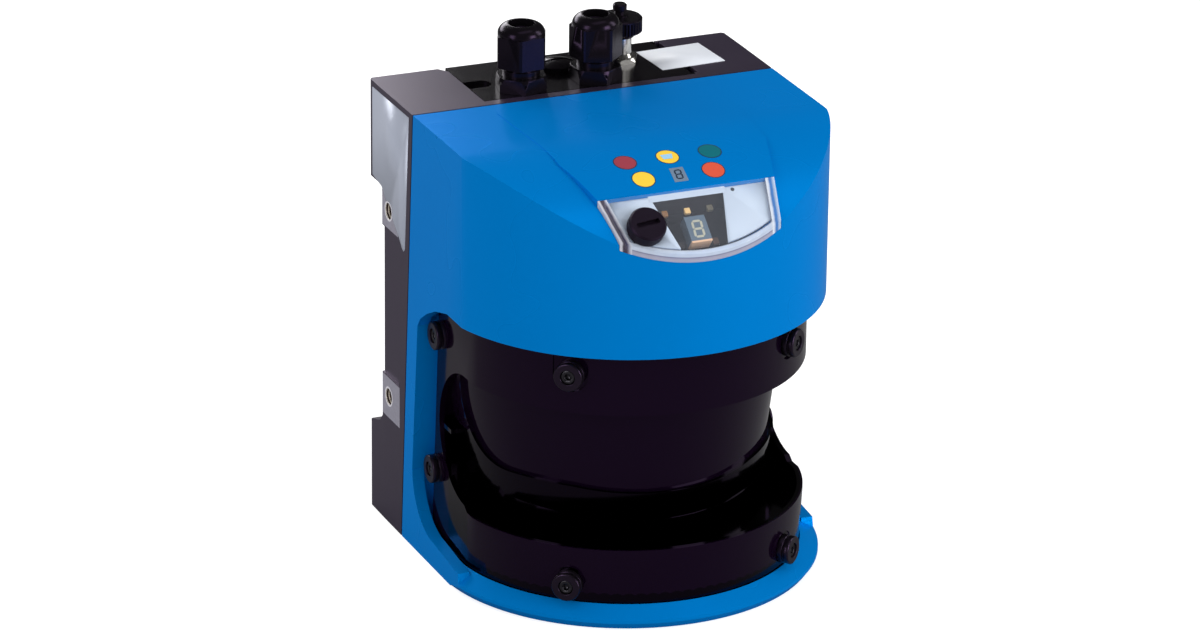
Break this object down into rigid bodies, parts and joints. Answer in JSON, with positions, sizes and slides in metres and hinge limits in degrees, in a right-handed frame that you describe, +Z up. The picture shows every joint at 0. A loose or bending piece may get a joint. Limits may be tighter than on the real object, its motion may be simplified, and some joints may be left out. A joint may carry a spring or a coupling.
{
  "type": "safety laser scanner",
  "caption": "Area laser scanner for machine safety with a blue cast hood and base, a tapering black scan window, an indicator window and top cable glands.",
  "frame": {"origin": "on the standing plane, under the middle of the housing's width and depth", "axes": "+Z up along the scan axis, -Y towards the round front, +X to the device's left-hand side as it looks out (right in a view from the front)"},
  "size_m": [0.155, 0.16, 0.2122],
  "materials": {
    "cast_blue": "glossy blue paint",
    "cast_black": "semi-gloss black paint",
    "black_rubber": "matt",
    "black_plastic": "glossy black",
    "dark_plastic": "matt dark",
    "steel": "plain",
    "black_steel": "blackened steel",
    "nickel": "nickel plated",
    "silver_foil": "silver film",
    "white_foil": "white film",
    "clear_cover": "clear moulding",
    "panel_white": "pale sheet",
    "display_grey": "grey display",
    "led_amber": "amber",
    "scan_window": "infrared-clear black moulding",
    "mirror": "polished",
    "lens_glass": "polished",
    "brass": "turned",
    "board_green": "circuit board",
    "aluminium": "turned"
  },
  "bodies": {
    "housing": {"rear_housing": "cast_black", "front_housing": "cast_blue", "housing_gasket": "black_rubber", "connection_module": "cast_black", "module_screw": "steel", "gland_body_left": "black_plastic", "gland_seal_left": "black_rubber", "gland_body_right": "black_plastic", "gland_seal_right": "black_rubber", "blanking_plug": "black_plastic", "signal_socket": "nickel", "rating_label": "silver_foil", "check_sticker": "white_foil", "window_cover": "clear_cover", "indicator_panel": "panel_white", "display_board": "dark_plastic", "digit_display": "display_grey", "status_leds": "led_amber", "service_port": "dark_plastic", "optics_cover": "scan_window", "cover_seal": "black_rubber", "cover_bushings": "black_plastic", "cover_screws": "black_steel", "spindle_motor": "steel", "encoder_sensor": "dark_plastic", "lens_holder": "dark_plastic", "receiver_lens": "lens_glass", "laser_module": "brass", "receiver_board": "board_green", "main_board": "board_green", "board_standoffs": "brass", "board_chips": "dark_plastic", "module_connector": "dark_plastic"},
    "scan_rotor": {"spindle_shaft": "steel", "mirror_hub": "dark_plastic", "scan_mirror": "mirror", "encoder_disc": "aluminium"},
    "left_nut": {"gland_nut_left": "black_plastic"},
    "right_nut": {"gland_nut_right": "black_plastic"},
    "socket_cap": {"signal_cap": "black_plastic"},
    "service_cap": {"port_cap": "black_plastic"}
  },
  "joints": [
    {"name": "mirror_spin", "type": "hinge", "parent": "housing", "child": "scan_rotor", "pos_m": [0, 0, 0.03], "axis": [0, 0, 1], "continuous": true},
    {"name": "left_nut_turn", "type": "hinge", "parent": "housing", "child": "left_nut", "pos_m": [-0.0255, 0.047, 0.2], "axis": [0, 0, 1], "range_deg": [-60, 800]},
    {"name": "right_nut_turn", "type": "hinge", "parent": "housing", "child": "right_nut", "pos_m": [0.0065, 0.047, 0.2], "axis": [0, 0, 1], "range_deg": [-60, 800]},
    {"name": "socket_cap_turn", "type": "hinge", "parent": "housing", "child": "socket_cap", "pos_m": [0.0242, 0.064, 0.2], "axis": [0, 0, 1], "range_deg": [-20, 1000]},
    {"name": "service_cap_turn", "type": "hinge", "parent": "housing", "child": "service_cap", "pos_m": [-0.0226, -0.06995, 0.16511], "axis": [0, -0.6428, 0.766], "range_deg": [-20, 700]}
  ]
}
